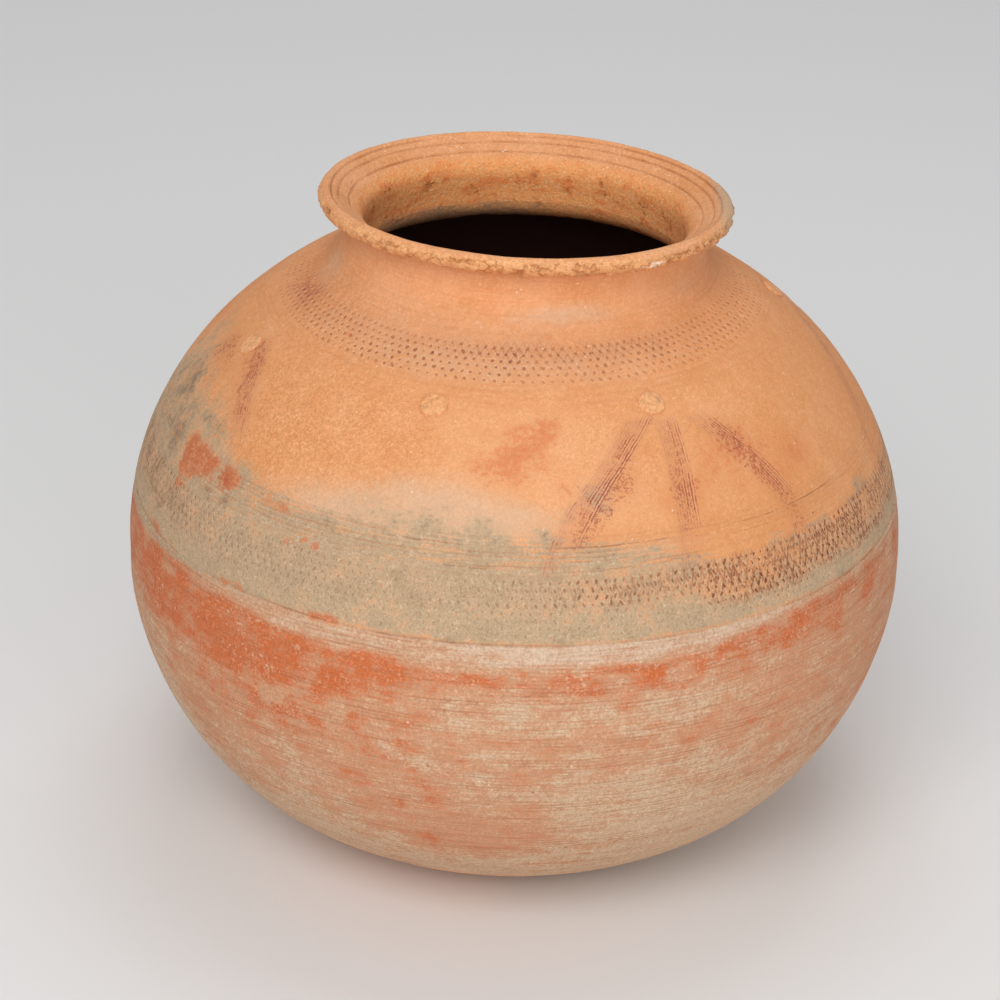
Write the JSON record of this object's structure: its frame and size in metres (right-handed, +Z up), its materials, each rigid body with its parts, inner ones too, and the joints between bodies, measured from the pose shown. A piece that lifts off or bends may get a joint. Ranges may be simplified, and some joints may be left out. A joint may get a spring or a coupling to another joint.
{
  "type": "terracotta jar",
  "caption": "Round-bodied hand-built terracotta water jar with a narrow neck, a turned-out lip, a rouletted belt and applied clay pellets.",
  "frame": {"origin": "centre of the flattened foot, on the surface that the jar stands on", "axes": "+Z up along the jar's axis, -Y towards the side that is seen, +X to the right seen from that side"},
  "size_m": [0.39, 0.39, 0.3354],
  "materials": {
    "red_slip_clay": "worn red slip over unglazed terracotta, matte",
    "belt_clay": "unglazed, impressed, with a buff-grey dusty patina",
    "shoulder_clay": "unglazed orange terracotta, smoothed, matte",
    "neck_clay": "unglazed orange terracotta, smoothed, matte",
    "rim_clay": "unglazed orange terracotta, chipped edge, matte",
    "pellet_clay": "unglazed orange terracotta, matte"
  },
  "bodies": {
    "root": {"base_bowl": "red_slip_clay", "belt": "belt_clay", "shoulder": "shoulder_clay", "neck_collar": "neck_clay", "rim_lip": "rim_clay", "pellet_1": "pellet_clay", "pellet_2": "pellet_clay", "pellet_3": "pellet_clay", "pellet_4": "pellet_clay", "pellet_5": "pellet_clay", "pellet_6": "pellet_clay"}
  },
  "joints": []
}
